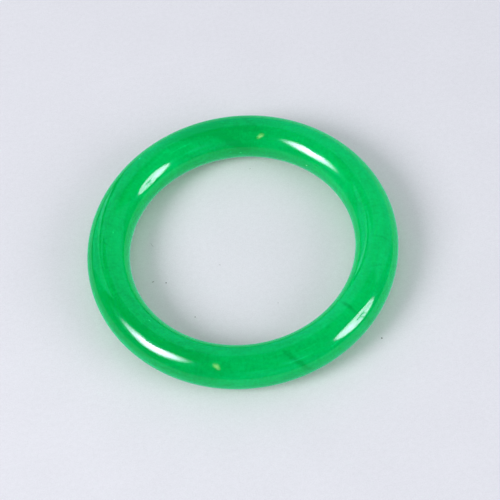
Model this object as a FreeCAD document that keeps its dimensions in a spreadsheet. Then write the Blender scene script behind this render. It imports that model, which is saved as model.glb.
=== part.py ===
import FreeCAD, Part
import Sketcher
import math
import os

# A one-piece bangle: a ring of solid glass with a round section, which slips over the hand.
# Millimetres, +Z up. The ring lies flat, as on a table: its axis is Z, it touches z = 0 along one
# circle, and the origin is the middle of that circle.

PARTS_FOLDER = "parts"
SHEET = "Dimensions"
FULL_TURN = 360
SHARE_ALLOWED = 1e-4  # the share by which the finished solid may miss its stated size

# The driving dimensions: spreadsheet row, alias, millimetres, meaning
DIMENSIONS = (
    (1, "InnerDiameter", "56", "clear opening for the wrist"),
    (2, "TubeDiameter", "10.6", "thickness of the round section, and height of the ring"),
)
TUBE_RADIUS = f"{SHEET}.TubeDiameter / 2"
CENTRE_RADIUS = f"({SHEET}.InnerDiameter + {SHEET}.TubeDiameter) / 2"

# How a sketch names its own origin, and the centre of a circle
ORIGIN = (-1, 1)
CENTRE_POINT = 3


def add_dimensions(doc):
    """The sheet that every size below is bound to."""
    sheet = doc.addObject("Spreadsheet::Sheet", SHEET)
    for row, alias, value, meaning in DIMENSIONS:
        sheet.set(f"A{row}", alias)
        sheet.set(f"B{row}", value)
        sheet.set(f"C{row}", meaning)
        sheet.setAlias(f"B{row}", alias)
    doc.recompute()
    return sheet


def bind(sketch, name, constraint, expression):
    """Adds a named constraint whose value follows an expression of the sheet."""
    index = sketch.addConstraint(constraint)
    sketch.renameConstraint(index, name)
    sketch.setExpression(f"Constraints.{name}", expression)


def add_section(body):
    """The round section, on the XZ plane: it stands on the X axis, clear of the Z axis."""
    plane = next(f for f in body.Origin.OriginFeatures if f.Role == "XZ_Plane")
    sketch = body.newObject("Sketcher::SketchObject", "RingSection")
    sketch.AttachmentSupport = [(plane, "")]
    sketch.MapMode = "FlatFace"
    # A unit circle up and to the right of the origin; its constraints give it its size and place
    unit_circle = Part.Circle(FreeCAD.Vector(2, 1, 0), FreeCAD.Vector(0, 0, 1), 1)
    circle = sketch.addGeometry(unit_circle, False)
    to_centre = (*ORIGIN, circle, CENTRE_POINT, 1)
    bind(sketch, "SectionRadius", Sketcher.Constraint("Radius", circle, 1), TUBE_RADIUS)
    bind(sketch, "CentreRadius", Sketcher.Constraint("DistanceX", *to_centre), CENTRE_RADIUS)
    bind(sketch, "CentreHeight", Sketcher.Constraint("DistanceY", *to_centre), TUBE_RADIUS)
    return sketch


def add_bangle_ring(doc):
    """The ring: its section turned once round the Z axis."""
    body = doc.addObject("PartDesign::Body", "BangleRing")
    body.Label = "bangle_ring"
    section = add_section(body)
    ring = body.newObject("PartDesign::Revolution", "RingTurn")
    ring.Profile = section
    ring.ReferenceAxis = (section, ["V_Axis"])
    ring.Angle = FULL_TURN
    body.Placement = FreeCAD.Placement()
    return body


def check_document(doc):
    """A failed feature doesn't raise by itself, so each object's state is read."""
    for item in doc.Objects:
        if {"Invalid", "Error"} & set(item.State):
            raise RuntimeError(f"{item.Label} did not rebuild: {item.State}")


def check_ring(body, sheet):
    """The ring is one sound solid with the volume of these sizes, and it stands on z = 0."""
    shape = body.Shape
    if shape.isNull() or not shape.isValid() or len(shape.Solids) != 1:
        raise RuntimeError(f"{body.Label} is not one valid solid")
    section_area = math.pi * (sheet.TubeDiameter / 2) ** 2
    path_length = math.pi * (sheet.InnerDiameter + sheet.TubeDiameter)
    volume = section_area * path_length
    if abs(shape.Volume - volume) > SHARE_ALLOWED * volume:
        raise RuntimeError(f"{body.Label} has volume {shape.Volume:.1f}, not {volume:.1f}")
    lowest = shape.optimalBoundingBox().ZMin
    if abs(lowest) > SHARE_ALLOWED * sheet.TubeDiameter:
        raise RuntimeError(f"{body.Label} stands at z = {lowest:.4f}, not on 0")


def export(bodies):
    """Writes each sub-part to a file named after its node."""
    os.makedirs(PARTS_FOLDER, exist_ok=True)
    for body in bodies:
        body.Shape.exportStep(f"{PARTS_FOLDER}/{body.Label}.step")
        print(f"{body.Label}: {body.Shape.Volume:.1f} mm3")


def main():
    doc = FreeCAD.newDocument("Bangle")
    sheet = add_dimensions(doc)
    ring = add_bangle_ring(doc)
    doc.recompute()
    check_document(doc)
    check_ring(ring, sheet)
    export([ring])


main()
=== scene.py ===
import math

import bpy
from mathutils import Matrix, Vector


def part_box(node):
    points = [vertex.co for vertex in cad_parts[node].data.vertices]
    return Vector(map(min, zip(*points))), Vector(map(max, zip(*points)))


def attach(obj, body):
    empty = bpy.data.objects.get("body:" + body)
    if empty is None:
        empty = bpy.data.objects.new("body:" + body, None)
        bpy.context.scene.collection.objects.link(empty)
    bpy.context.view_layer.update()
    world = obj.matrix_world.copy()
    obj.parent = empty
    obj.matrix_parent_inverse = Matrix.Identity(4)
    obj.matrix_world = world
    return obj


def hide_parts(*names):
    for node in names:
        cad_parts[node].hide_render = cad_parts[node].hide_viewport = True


# A bangle of milky green glass, lying on white paper between two umbrella lamps.
# Metres, in the CAD model's frame: the ring's axis is Z and it rests on z = 0.

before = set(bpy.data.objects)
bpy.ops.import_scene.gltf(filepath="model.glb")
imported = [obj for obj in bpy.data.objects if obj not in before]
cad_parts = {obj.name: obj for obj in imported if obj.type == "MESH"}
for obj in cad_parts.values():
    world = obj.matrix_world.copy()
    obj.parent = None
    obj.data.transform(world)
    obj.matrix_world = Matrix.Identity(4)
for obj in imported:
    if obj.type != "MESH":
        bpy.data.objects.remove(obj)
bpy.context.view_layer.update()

MM = 0.001
NODE = "bangle_ring"
low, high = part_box(NODE)
TUBE = (low.z + high.z) / 2  # the ring rests on z = 0, so its middle height is its tube's radius
RING = (high.x - low.x) / 2 - TUBE
CENTRE = Vector((0, 0, TUBE))

# Camera: degrees above the floor and of roll, distance in ring radii, focal length and shift in
# sensor widths
CAMERA_ELEVATION = 58.6
CAMERA_ROLL = 9.42
CAMERA_DISTANCE = 14.75
FOCAL_WIDTHS = 3.969
SENSOR_MM = 36
SHIFT = (0.0158, -0.0048)

# Colours of light. What the glass mirrors, apart from the lamps, holds little red.
LAMP_COLOUR = (0.88, 0.78, 1.05, 1)
WALL_COLOUR = (0.10, 1.0, 1.08, 1)
STRIP_COLOUR = (0.40, 0.9, 1.2, 1)
SMALL_LAMP_COLOUR = (0.60, 0.75, 0.28, 1)
ROOM_COLOUR = (0.50, 0.51, 0.525, 1)
DARK_COLOUR = (0.01, 0.12, 0.15, 1)
BACKDROP_COLOUR = (0.74, 0.75, 0.81, 1)

# Cards stand this far off; the boards of the room stand behind them
LAMP_DISTANCE = 1.2
PANEL_DISTANCE = 1.3
BOARD_DISTANCE = 1.4

# The studio lamps: name, azimuth and elevation (degrees), width (m), power (W)
LAMPS = (
    ("lamp_right", 63, 25, 0.62, 3.2),
    ("lamp_left", -72, 38, 0.50, 5.7),
)


def link(thing):
    """Puts an object into the scene, and hands it back."""
    bpy.context.scene.collection.objects.link(thing)
    return thing


def placed(x_axis, y_axis, z_axis, origin):
    """The matrix that puts a thing at origin, along these three axes."""
    place = Matrix((x_axis, y_axis, z_axis)).transposed().to_4x4()
    place.translation = origin
    return place


def direction(azimuth, elevation):
    """Out from the ring. Azimuth 0 is -Y, the camera's side, and 90 is +X."""
    a, e = math.radians(azimuth), math.radians(elevation)
    return Vector((math.sin(a) * math.cos(e), -math.cos(a) * math.cos(e), math.sin(e)))


# ---------------------------------------------------------------- the camera


def place_camera():
    """A camera on the -Y side, which looks down at the middle of the ring."""
    roll = math.radians(CAMERA_ROLL)
    back = direction(0, CAMERA_ELEVATION)
    level = Vector((1, 0, 0))
    upward = back.cross(level)
    right = math.cos(roll) * level - math.sin(roll) * upward
    up = math.sin(roll) * level + math.cos(roll) * upward
    data = bpy.data.cameras.new("camera")
    data.sensor_width = SENSOR_MM
    data.lens = FOCAL_WIDTHS * SENSOR_MM
    data.shift_x, data.shift_y = SHIFT
    camera = link(bpy.data.objects.new("camera", data))
    camera.matrix_world = placed(right, up, back, CENTRE + back * CAMERA_DISTANCE * RING)
    bpy.context.scene.camera = camera


# ---------------------------------------------------------------- nodes

NOISE_MEAN = 0.5


class Nodes:
    """Short names for building a node tree."""

    def __init__(self, tree):
        self.tree = tree
        tree.nodes.clear()

    def feed(self, socket, value):
        """Links a socket to another one, or sets its number."""
        if isinstance(value, bpy.types.NodeSocket):
            self.tree.links.new(value, socket)
        else:
            socket.default_value = value

    def add(self, kind, *values, settings=None, **named):
        """A node, its inputs fed in order by values, or by name with _ for a space."""
        node = self.tree.nodes.new(kind)
        for key, value in (settings or {}).items():
            setattr(node, key, value)
        for socket, value in zip(node.inputs, values):
            self.feed(socket, value)
        for key, value in named.items():
            self.feed(node.inputs[key.replace("_", " ")], value)
        return node

    def math(self, operation, a, b=0.0):
        return self.add("ShaderNodeMath", a, b, settings={"operation": operation}).outputs[0]

    def plus(self, a, b):
        return self.math("ADD", a, b)

    def minus(self, a, b):
        return self.math("SUBTRACT", a, b)

    def times(self, a, b):
        return self.math("MULTIPLY", a, b)

    def over(self, a, b):
        return self.math("DIVIDE", a, b)

    def length(self, a, b):
        return self.math("SQRT", self.plus(self.times(a, a), self.times(b, b)))

    def span(self, value, start, end, before=0.0, after=1.0):
        """before up to start, after from end on, and smooth between. start may be above end."""
        node = self.add("ShaderNodeMapRange", value, settings={"interpolation_type": "SMOOTHSTEP"})
        ends = {"From Min": start, "From Max": end, "To Min": before, "To Max": after}
        for name, number in ends.items():
            node.inputs[name].default_value = number
        return node.outputs["Result"]

    def object_xyz(self):
        place = self.add("ShaderNodeTexCoord").outputs["Object"]
        return self.add("ShaderNodeSeparateXYZ", place).outputs

    def noise(self, scale, detail=2.0):
        """Noise in the object's own metres, about 0."""
        place = self.add("ShaderNodeTexCoord").outputs["Object"]
        node = self.add("ShaderNodeTexNoise", Vector=place, Scale=scale, Detail=detail)
        return self.minus(node.outputs[0], NOISE_MEAN)

    def glow(self, strength, colour):
        return self.add("ShaderNodeEmission", colour, strength).outputs[0]

    def mix(self, share, first, second):
        """The first shader where share is 0, the second where it is 1."""
        return self.add("ShaderNodeMixShader", share, first, second).outputs[0]

    def both(self, first, second):
        """The light of two shaders together."""
        return self.add("ShaderNodeAddShader", first, second).outputs[0]

    def output(self, shader, kind="ShaderNodeOutputMaterial"):
        self.add(kind, shader)


def new_material(name):
    material = bpy.data.materials.new(name)
    material.use_nodes = True
    return material, Nodes(material.node_tree)


# ---------------------------------------------------------------- cards that only reflections see

# The kinds of ray that a card is hidden from
UNSEEN_BY = ("camera", "diffuse", "transmission", "shadow")
ROD_END = 0.04  # how softly a rod ends, at the middle of its card
WHOLE = {"at": (0, 0), "size": (1, 1)}  # an ellipse that fills its card


def facing_ring(azimuth, elevation, distance, lean):
    """The place of an upright card that far from the ring, turned by lean about the line to it."""
    out = direction(azimuth, elevation)
    level = direction(azimuth + 90, 0)
    turn = Matrix.Rotation(math.radians(lean), 3, out)
    along = turn @ level
    up = turn @ level.cross(out)
    if up.z < 0:
        up = -up
    return placed(along, up, along.cross(up), CENTRE + out * distance)


class Card:
    """A card that only mirror reflections see, facing the ring. Its half sizes are degrees from there.

    n builds its nodes. x and y run from -1 to 1 across it, and places and sizes on it are in them.
    """

    def __init__(self, name, azimuth, elevation, half_width, half_height, distance=LAMP_DISTANCE, lean=0):
        w = distance * math.tan(math.radians(half_width))
        h = distance * math.tan(math.radians(half_height))
        mesh = bpy.data.meshes.new(name)
        mesh.from_pydata([(-w, -h, 0), (w, -h, 0), (w, h, 0), (-w, h, 0)], [], [(0, 1, 2, 3)])
        board = link(bpy.data.objects.new(name, mesh))
        board.matrix_world = facing_ring(azimuth, elevation, distance, lean)
        for ray in UNSEEN_BY:
            setattr(board, f"visible_{ray}", False)
        material, self.n = new_material(name)
        material.cycles.emission_sampling = "NONE"
        mesh.materials.append(material)
        x, y, _ = self.n.object_xyz()
        self.x, self.y = self.n.over(x, w), self.n.over(y, h)

    def off_centre(self, at, size):
        """How far out a point is, in an ellipse whose edge is 1."""
        (cx, cy), (rx, ry), n = at, size, self.n
        return n.length(n.over(n.minus(self.x, cx), rx), n.over(n.minus(self.y, cy), ry))

    def spot(self, at, size, rim, strength=1.0):
        """strength inside an ellipse, falling to 0 over a rim at its edge. A rim of 1 is all fade."""
        inside = self.n.span(self.off_centre(at, size), 1, 1 - rim)
        return self.n.times(inside, strength)

    def halo(self, size, reach, full, strength):
        """A glow round an ellipse: strength up to full of its size, fading to 0 at reach of it."""
        return self.n.times(self.n.span(self.off_centre((0, 0), size), reach, full), strength)

    def rod(self, at, half_width):
        """1 on a thin upright rod below the middle of the card, and 0 elsewhere."""
        aside = self.n.math("ABSOLUTE", self.n.minus(self.x, at))
        return self.n.times(self.n.span(aside, half_width, 0), self.n.span(self.y, ROD_END, -ROD_END))

    def dim(self, light, mask, share):
        """The light, less a share of it where the mask is 1."""
        return self.n.times(light, self.n.minus(1.0, self.n.times(mask, share)))

    def shine(self, light, colour=WALL_COLOUR):
        self.n.output(self.n.glow(light, colour))

    def shine_with(self, light, colour, second, second_colour):
        """Two lights of different colours on the one card."""
        self.n.output(self.n.both(self.n.glow(light, colour), self.n.glow(second, second_colour)))


def umbrella_right():
    """A round umbrella, brightest on one side, with the dark flash head and its rods before it."""
    card = Card("umbrella_right", azimuth=63.2, elevation=25.5, half_width=23, half_height=28)
    n = card.n
    cloth = card.spot(at=(0, 0), size=(0.67, 0.70), rim=0.2, strength=11.5)
    hot_side = card.spot(at=(-0.22, 0), size=(0.45, 0.62), rim=1, strength=8.0)
    fold_depth = 0.6
    folds = n.plus(1.0, n.times(n.noise(scale=9.0), fold_depth))
    light = n.times(n.plus(cloth, hot_side), folds)
    head = card.spot(at=(0.14, 0.03), size=(0.16, 0.11), rim=0.35)
    far_side = card.spot(at=(0.42, 0), size=(0.20, 0.5), rim=0.8)
    light = card.dim(light, head, share=0.95)
    light = card.dim(light, card.rod(at=0.10, half_width=0.045), share=0.75)
    light = card.dim(light, card.rod(at=0.21, half_width=0.040), share=0.6)
    light = card.dim(light, far_side, share=0.16)
    halo = card.halo(size=(0.66, 0.68), reach=1.5, full=0.7, strength=1.3)
    card.shine_with(light, LAMP_COLOUR, halo, WALL_COLOUR)


def umbrella_left():
    """A second umbrella, seen at a slant: a hot core, a fainter wing, and a notch between them."""
    card = Card("umbrella_left", azimuth=-74, elevation=40, half_width=30, half_height=30)
    n = card.n
    core = card.spot(at=(0.09, 0.02), size=(0.52, 0.74), rim=0.85, strength=32.0)
    wing = card.spot(at=(-0.28, 0.02), size=(0.34, 0.50), rim=0.7, strength=9.0)
    notch = card.spot(at=(-0.17, 0.50), size=(0.17, 0.34), rim=0.5)
    roughness_of_wing = n.span(card.x, -0.05, -0.25, before=0.0, after=2.6)
    rough = n.times(n.noise(scale=16.0, detail=4.0), roughness_of_wing)
    darkest = 0.1
    light = n.times(n.plus(core, wing), n.math("MAXIMUM", n.plus(1.0, rough), darkest))
    light = card.dim(light, notch, share=0.95)
    halo = card.halo(size=(0.66, 0.66), reach=1.5, full=0.4, strength=1.9)
    card.shine_with(light, LAMP_COLOUR, halo, WALL_COLOUR)


def small_lamp():
    """A narrow warm lamp, high up, a little out of plumb."""
    card = Card("small_lamp", azimuth=-34, elevation=57, half_width=1.8, half_height=22, lean=17)
    card.shine(card.spot(**WHOLE, rim=1, strength=10.0), SMALL_LAMP_COLOUR)


def soft_panel():
    """A faint glow above the camera's side of the table."""
    card = Card("soft_panel", azimuth=21, elevation=39, half_width=13, half_height=20)
    card.shine(card.spot(**WHOLE, rim=1, strength=0.9))


def board_back():
    """The long board behind the table, brighter at one end."""
    size = {"half_width": 51.5, "half_height": 32}
    card = Card("board_back", azimuth=156.8, elevation=30, distance=BOARD_DISTANCE, **size)
    card.shine(card.n.span(card.x, 0.33, 0.50, before=0.80, after=1.05))


def board_front():
    """A dimmer board on the camera's side, which fades out at its foot."""
    size = {"half_width": 20, "half_height": 18}
    card = Card("board_front", azimuth=12, elevation=17, distance=BOARD_DISTANCE, **size)
    brightness = 0.50
    card.shine(card.n.times(card.n.span(card.y, -1.0, -0.7), brightness))


def board_left():
    """The corner at the left: a board, a dark slanting gap, and a panel with a cool strip of light."""
    size = {"half_width": 24, "half_height": 28}
    card = Card("board_left", azimuth=-132, elevation=24, distance=PANEL_DISTANCE, **size)
    n = card.n
    slope = 0.50
    middle = -0.53
    past_gap = n.minus(card.x, n.plus(n.times(card.y, slope), middle))
    board = n.span(past_gap, -0.08, -0.12, before=0.0, after=1.05)
    panel = n.times(n.span(past_gap, 0.13, 0.17), n.span(card.x, 0.62, 0.56, before=0.08, after=0.90))
    panel = n.times(panel, n.span(card.y, -0.80, -0.72, before=0.08, after=1.0))
    strip = n.times(n.span(past_gap, 0.12, 0.16), n.span(past_gap, 0.50, 0.34))
    strip = n.times(strip, n.span(card.y, 0.6, -0.5, before=0.15, after=0.9))
    card.shine_with(n.plus(board, panel), WALL_COLOUR, strip, STRIP_COLOUR)


# ---------------------------------------------------------------- light


def lamp(name, azimuth, elevation, width, power):
    """The light a studio lamp throws, from 1 m off. Its mirror image is a card of its own."""
    data = bpy.data.lights.new(name, "AREA")
    data.shape = "DISK"
    data.size = width
    data.energy = power
    out = direction(azimuth, elevation)
    source = link(bpy.data.objects.new(name, data))
    source.location = CENTRE + out
    source.rotation_mode = "QUATERNION"
    source.rotation_quaternion = out.to_track_quat("Z", "Y")
    source.visible_glossy = False


def light_studio():
    for values in LAMPS:
        lamp(*values)
    umbrella_right()
    umbrella_left()
    small_lamp()
    soft_panel()
    board_back()
    board_front()
    board_left()


def light_world():
    """A pale room behind a plain backdrop. Mirror reflections that miss every card see dark gaps."""
    world = bpy.data.worlds.new("studio")
    bpy.context.scene.world = world
    world.use_nodes = True
    n = Nodes(world.node_tree)
    ray = n.add("ShaderNodeLightPath").outputs
    room = n.add("ShaderNodeBackground", ROOM_COLOUR).outputs[0]
    dark = n.add("ShaderNodeBackground", DARK_COLOUR).outputs[0]
    backdrop = n.add("ShaderNodeBackground", BACKDROP_COLOUR).outputs[0]
    unseen = n.mix(ray["Is Glossy Ray"], room, dark)
    n.output(n.mix(ray["Is Camera Ray"], unseen, backdrop), "ShaderNodeOutputWorld")


# ---------------------------------------------------------------- the floor

FLOOR_RADIUS = 1.5
FLOOR_SIDES = 128
PAPER_COLOUR = (0.80, 0.80, 0.86)
PAPER_GRAIN = ((3000.0, 0.16), (900.0, 0.08), (60.0, 0.05))  # noise scale, share of the colour
FAR_PAPER = (0.18, 0.55)  # the paper turns into the backdrop between these radii

# The paper as the glass mirrors it: evenly lit, a little dimmer near the ring, and cut off where the
# boards hide it. Pairs are from, to; radii are in metres.
MIRRORED_PAPER = (0.28, 0.94, 0.77, 1)
NEAR_RADII = (0.036, 0.080)
NEAR_LIGHT = (0.85, 0.92)
CUT_RADII = (0.095, 0.135)
CUT_LIGHT = 0.05
BACK_AZIMUTH = 155
BACK_COSINES = (0.60, 0.66)  # within this angle of the back, the paper isn't cut off

DUST_SIDES = 12
DUST_HEIGHT = 0.03 * MM
# Dust on the paper: x, y, half length, half width (mm), turn (degrees), darkness
DUST = (
    (-23.3, -2.4, 0.30, 0.14, 20, 0.55),
    (-20.1, -3.3, 0.17, 0.15, 0, 0.80),
    (-14.2, -14.3, 0.16, 0.14, 0, 0.65),
    (-6.2, -0.7, 0.28, 0.09, -35, 0.30),
    (29.8, -28.6, 0.20, 0.18, 0, 0.80),
    (-22.3, 8.3, 0.75, 0.06, -65, 0.35),
    (5.3, 26.2, 0.20, 0.12, 30, 0.35),
    (6.5, -14.2, 0.13, 0.12, 0, 0.40),
)


def disc_mesh(name, radius_x, radius_y, sides):
    """A flat ellipse."""
    turns = [2 * math.pi * i / sides for i in range(sides)]
    points = [(radius_x * math.cos(a), radius_y * math.sin(a), 0) for a in turns]
    mesh = bpy.data.meshes.new(name)
    mesh.from_pydata(points, [], [tuple(range(sides))])
    return mesh


def paper_surface(n):
    """White paper with a fine grain."""
    shade = 1.0
    for scale, share in PAPER_GRAIN:
        shade = n.plus(shade, n.times(n.noise(scale), share))
    tint = n.add("ShaderNodeVectorMath", PAPER_COLOUR, settings={"operation": "SCALE"}, Scale=shade)
    return n.add("ShaderNodeBsdfDiffuse", tint.outputs[0]).outputs[0]


def mirrored_light(n, x, y, r):
    """How brightly mirror reflections see the paper, at x, y and radius r."""
    back = direction(BACK_AZIMUTH, 0)
    toward_back = n.over(n.plus(n.times(x, back.x), n.times(y, back.y)), r)
    cut = n.span(r, *CUT_RADII, before=1.0, after=CUT_LIGHT)
    reach = n.math("MAXIMUM", cut, n.span(toward_back, *BACK_COSINES))
    return n.times(reach, n.span(r, *NEAR_RADII, *NEAR_LIGHT))


def paper():
    """Paper that runs far off into the backdrop, and that mirror reflections see evenly lit."""
    material, n = new_material("paper")
    x, y, _ = n.object_xyz()
    r = n.length(x, y)
    ray = n.add("ShaderNodeLightPath").outputs
    far = n.times(n.span(r, *FAR_PAPER), ray["Is Camera Ray"])
    seen = n.mix(far, paper_surface(n), n.glow(1.0, BACKDROP_COLOUR))
    mirrored = n.glow(mirrored_light(n, x, y, r), MIRRORED_PAPER)
    n.output(n.mix(ray["Is Glossy Ray"], seen, mirrored))
    return material


def lay_dust():
    """Small dark specks and a hair, flat on the paper."""
    for i, (x, y, half_length, half_width, turn, darkness) in enumerate(DUST):
        mesh = disc_mesh(f"dust_{i}", half_length * MM, half_width * MM, DUST_SIDES)
        speck = link(bpy.data.objects.new(f"dust_{i}", mesh))
        speck.location = (x * MM, y * MM, DUST_HEIGHT)
        speck.rotation_euler = (0, 0, math.radians(turn))
        speck.visible_glossy = False
        material, n = new_material(f"dust_{i}")
        grey = [channel * (1 - darkness) for channel in PAPER_COLOUR]
        n.output(n.add("ShaderNodeBsdfDiffuse", (*grey, 1)).outputs[0])
        mesh.materials.append(material)


def lay_floor():
    mesh = disc_mesh("floor", FLOOR_RADIUS, FLOOR_RADIUS, FLOOR_SIDES)
    mesh.materials.append(paper())
    link(bpy.data.objects.new("floor", mesh))
    lay_dust()


# ---------------------------------------------------------------- the ring

STEPS_ROUND_RING = 720
STEPS_ROUND_TUBE = 144
MILK_AND_SHADE = "milk_and_shade"  # the mesh attribute that says how milky the glass is, with the zones' painted shade and painted light added

# Marks inside the glass, and zones of painted shade and painted light, each an ellipse in ring
# coordinates (degrees):
# middle (round the ring from +X, and round the tube from its outer side over the top),
# half sizes the same two ways, lean (degrees round the ring per degree round the tube),
# and how much milkier (+) or deeper (-) the glass is there; for a zone, this is painted light (+) or
# painted shade (-)
MARKS = (
    (283.5, 45, 2.1, 70, -0.090, -0.46),
    (313.2, 88, 1.4, 52, 0.012, -0.50),
    (315.0, 20, 1.2, 30, -0.02, -0.24),
    (80.5, 64, 1.6, 18, -0.05, -0.40),
    (77.0, 86, 1.8, 18, -0.20, -0.28),
    (89.0, 125, 5.0, 66, -0.20, -0.34),
    (97.0, 95, 5.5, 22, -0.10, -0.22),
    (348.9, 75, 0.8, 42, 0.03, -0.24),
    (336.0, 70, 0.9, 40, -0.08, -0.26),
    (4.2, 82, 0.9, 30, -0.02, -0.20),
    (22.4, 67, 1.0, 30, -0.05, -0.14),
    (162.0, 84, 0.8, 14, 0.09, -0.40),
    (172.8, 92, 0.8, 20, 0.12, -0.20),
    (218.0, 84, 3.0, 26, 0.12, -0.26),
    (284.0, 50, 6.5, 1.8, 0.0, 0.50),
    (288.0, 68, 7.0, 2.0, 0.0, 0.34),
    (269.0, 48, 9.0, 2.0, 0.0, 0.24),
    (298.5, 40, 3.5, 3.0, 0.0, 0.34),
    (110.0, 113, 9.0, 2.5, 0.0, 0.40),
    (108.0, 134, 8.0, 2.5, 0.0, 0.34),
    (118.0, 100, 3.0, 9.0, 0.0, 0.24),
    (127.5, 80, 1.0, 20, 0.0, 0.20),
    (127.9, 64, 0.9, 2.5, 0.0, 2.2),
    (46.2, 170, 0.9, 3.0, 0.0, 2.2),
    (217.4, 113, 0.9, 2.6, 0.0, 1.5),
    (82.7, 175, 1.1, 3.4, 0.0, 1.3),
    (166.6, 108, 0.8, 2.4, 0.0, 1.0),
    (87.9, 170, 0.8, 3.0, 0.0, 0.9),
)
# Zones of painted shade (-) and painted light (+) in the glass's colour, set to how light falls through
# the ring: darker round the far side, the left and the near side, lighter on the inner side at two places
PAINTED_LIGHT_AND_SHADE = (
    (88, 78, 26, 80, -0.06, -0.34),
    (146, 70, 44, 52, 0.0, -0.30),
    (200, 70, 44, 70, 0.0, -0.30),
    (236, 50, 28, 60, 0.0, -0.34),
    (272, 78, 30, 50, 0.0, -0.10),
    (104, 72, 20, 44, 0.0, -0.26),
    (211, 48, 22, 46, 0.0, -0.44),
    (242, 92, 14, 36, 0.0, -0.26),
    (170, 28, 34, 34, 0.0, -0.28),
    (86, 158, 18, 34, 0.0, -0.28),
    (128, 143, 22, 32, 0.0, 0.28),
    (30, 140, 24, 42, 0.0, 0.18),
)
# The share of its size over which a mark or a zone fades out
MARK_RIM = 1.0
PAINTED_LIGHT_AND_SHADE_RIM = 0.6


def ease(distance, rim):
    """1 in the middle of a mark; fades to 0 at its edge, over a rim that is a share of its size."""
    near = min(1.0, max(0.0, 1.0 - distance) / rim)
    return near * near * (3 - 2 * near)


def half_turn_range(degrees):
    """The same angle, from -180 up to 180."""
    return (degrees + 180) % 360 - 180


def milkiness_and_shade(round_ring, round_tube):
    """How much milkier (+) or deeper (-) than usual the glass is at a point, given in degrees, plus the
    zones' painted light (+) and painted shade (-).
    """
    total = 0.0
    for marks_and_shade, rim in ((MARKS, MARK_RIM), (PAINTED_LIGHT_AND_SHADE, PAINTED_LIGHT_AND_SHADE_RIM)):
        for a, b, half_a, half_b, lean, strength in marks_and_shade:
            db = half_turn_range(round_tube - b)
            da = half_turn_range(round_ring - a - lean * db)
            if abs(da) < half_a and abs(db) < half_b:
                total += strength * ease(math.hypot(da / half_a, db / half_b), rim)
    return total


def ring_points():
    """The points of the ring's surface, tube circle by tube circle, and at each the milkiness with the
    painted shade and light of the zones.
    """
    points, milk_and_shade = [], []
    for i in range(STEPS_ROUND_RING):
        a = 2 * math.pi * i / STEPS_ROUND_RING
        for j in range(STEPS_ROUND_TUBE):
            b = 2 * math.pi * j / STEPS_ROUND_TUBE
            r = RING + TUBE * math.cos(b)
            points.append((r * math.cos(a), r * math.sin(a), TUBE + TUBE * math.sin(b)))
            milk_and_shade.append(milkiness_and_shade(math.degrees(a), math.degrees(b)))
    return points, milk_and_shade


def ring_faces():
    """Four-sided faces between each tube circle and the next, closed both ways."""
    sides, faces = STEPS_ROUND_TUBE, []
    for i in range(STEPS_ROUND_RING):
        for j in range(sides):
            k, m = (i + 1) % STEPS_ROUND_RING, (j + 1) % sides
            faces.append((i * sides + j, k * sides + j, k * sides + m, i * sides + m))
    return faces


def ring_mesh():
    points, milk_and_shade = ring_points()
    faces = ring_faces()
    mesh = bpy.data.meshes.new("glass_ring")
    mesh.from_pydata(points, [], faces)
    mesh.polygons.foreach_set("use_smooth", [True] * len(faces))
    mesh.attributes.new(MILK_AND_SHADE, "FLOAT", "POINT").data.foreach_set("value", milk_and_shade)
    mesh.update()
    return mesh


# ---------------------------------------------------------------- the glass

# Flow streaks in the glass: rate along the ring, rate across the tube, strength
STREAKS = ((5.0, 2.0, 0.55), (16.0, 6.0, 0.40), (60.0, 5.0, 0.62), (46.0, 16.0, 0.38))
STREAK_DETAIL = 3.0
STREAK_ROUGHNESS = 0.55
MILK_LEVEL = 0.44
MILK_TO_RAMP = 0.5  # the ramp's whole length is a milkiness of 2
# Glass colours along the ramp, from clear and deep to milky
GLASS_COLOURS = (
    (0.0, (0.0, 0.32, 0.065, 1)),
    (0.5, (0.0005, 0.61, 0.153, 1)),
    (1.0, (0.30, 0.90, 0.55, 1)),
)
GLASS = {
    "Roughness": 0.02,
    "IOR": 1.5,
    "Subsurface Weight": 1,
    "Subsurface Radius": (0.15, 1.0, 0.45),
    "Subsurface Scale": 0.050,
}


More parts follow.
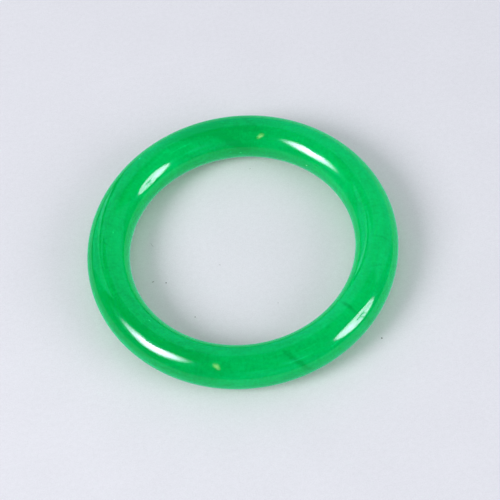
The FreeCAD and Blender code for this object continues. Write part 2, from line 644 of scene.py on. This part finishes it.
def ring_coordinates(n):
    """A point's cosine and sine round the ring, then round the tube: four numbers without a seam."""
    x, y, z = n.object_xyz()
    r = n.length(x, y)
    up, out = n.over(n.minus(z, TUBE), TUBE), n.over(n.minus(r, RING), TUBE)
    return n.over(x, r), n.over(y, r), out, up


def streaks(n, place, along, across):
    """Noise about 0, finer or coarser by its rates along the ring and across the tube."""
    x, y, z, w = (n.times(number, rate) for number, rate in zip(place, (along, along, across, across)))
    position = n.add("ShaderNodeCombineXYZ", x, y, z).outputs[0]
    look = {"Scale": 1.0, "Detail": STREAK_DETAIL, "Roughness": STREAK_ROUGHNESS}
    noise = n.add(
        "ShaderNodeTexNoise", settings={"noise_dimensions": "4D"}, Vector=position, W=w, **look
    )
    return n.minus(noise.outputs[0], NOISE_MEAN)


def glass_colour(n):
    """The glass's colour at each point: its marks, its zones of painted shade and painted light, and its
    flow streaks, through the ramp.
    """
    marks_and_shade = n.add("ShaderNodeAttribute", settings={"attribute_name": MILK_AND_SHADE}).outputs["Fac"]
    milk_and_shade = n.plus(marks_and_shade, MILK_LEVEL)
    place = ring_coordinates(n)
    for along, across, strength in STREAKS:
        milk_and_shade = n.plus(milk_and_shade, n.times(streaks(n, place, along, across), strength))
    ramp = n.add("ShaderNodeValToRGB", n.times(milk_and_shade, MILK_TO_RAMP))
    stops = ramp.color_ramp.elements
    stops.new(GLASS_COLOURS[1][0])
    for stop, (position, colour) in zip(stops, GLASS_COLOURS):
        stop.position, stop.color = position, colour
    return ramp.outputs["Color"]


def green_glass():
    """Milky glass: light goes deep into it, and its surface is polished."""
    material, n = new_material("green_glass")
    shader = n.add("ShaderNodeBsdfPrincipled", glass_colour(n))
    shader.subsurface_method = "RANDOM_WALK"
    for name, value in GLASS.items():
        shader.inputs[name].default_value = value
    n.output(shader.outputs[0])
    return material


# ---------------------------------------------------------------- the scene

place_camera()
lay_floor()
light_studio()
light_world()
ring = link(bpy.data.objects.new("glass_ring", ring_mesh()))
ring.data.materials.append(green_glass())
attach(ring, "root")
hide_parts(NODE)

bpy.context.scene.view_settings.view_transform = "Standard"
